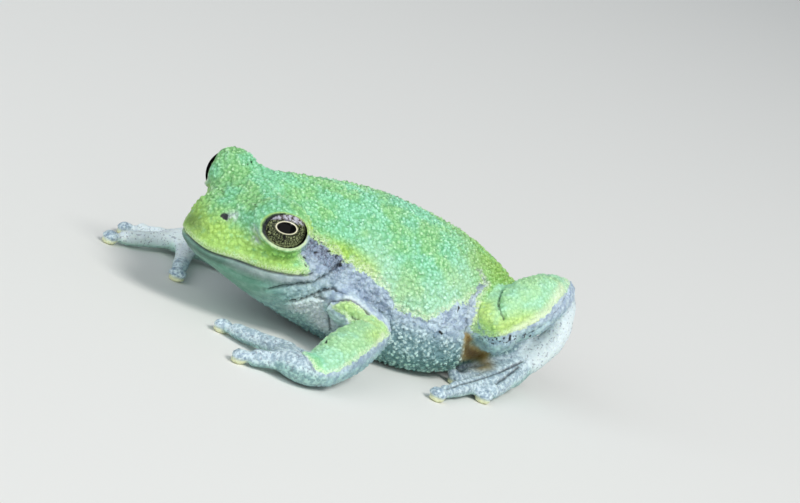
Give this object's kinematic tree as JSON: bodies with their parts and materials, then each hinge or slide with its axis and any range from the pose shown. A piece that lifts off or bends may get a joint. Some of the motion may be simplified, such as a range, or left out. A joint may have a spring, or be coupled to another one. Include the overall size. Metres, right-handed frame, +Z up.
{
  "type": "tree frog",
  "caption": "Life-size model of a green tree frog sitting with folded hind legs and spread hands, head raised a little.",
  "frame": {"origin": "middle of the footprint, on the floor that the belly, hands and feet rest on", "axes": "+X to the frog's left, +Y towards its rear so the head looks along -Y, +Z up"},
  "size_m": [0.038, 0.043, 0.0148],
  "materials": {
    "skin": "moist granular frog skin, green above, lavender grey and white below",
    "eye": "wet bronze eye with a black slot pupil"
  },
  "bodies": {
    "root": {"head": "skin", "lower_jaw": "skin", "trunk": "skin", "rump": "skin", "eye_left": "eye", "eye_right": "eye", "upper_arm_left": "skin", "forearm_left": "skin", "hand_left": "skin", "finger_1_left": "skin", "finger_2_left": "skin", "finger_3_left": "skin", "finger_4_left": "skin", "thigh_left": "skin", "shank_left": "skin", "tarsus_left": "skin", "foot_left": "skin", "toe_1_left": "skin", "toe_2_left": "skin", "toe_3_left": "skin", "toe_4_left": "skin", "toe_5_left": "skin", "upper_arm_right": "skin", "forearm_right": "skin", "hand_right": "skin", "finger_1_right": "skin", "finger_2_right": "skin", "finger_3_right": "skin", "finger_4_right": "skin", "thigh_right": "skin", "shank_right": "skin", "tarsus_right": "skin", "foot_right": "skin", "toe_1_right": "skin", "toe_2_right": "skin", "toe_3_right": "skin", "toe_4_right": "skin", "toe_5_right": "skin"}
  },
  "joints": []
}
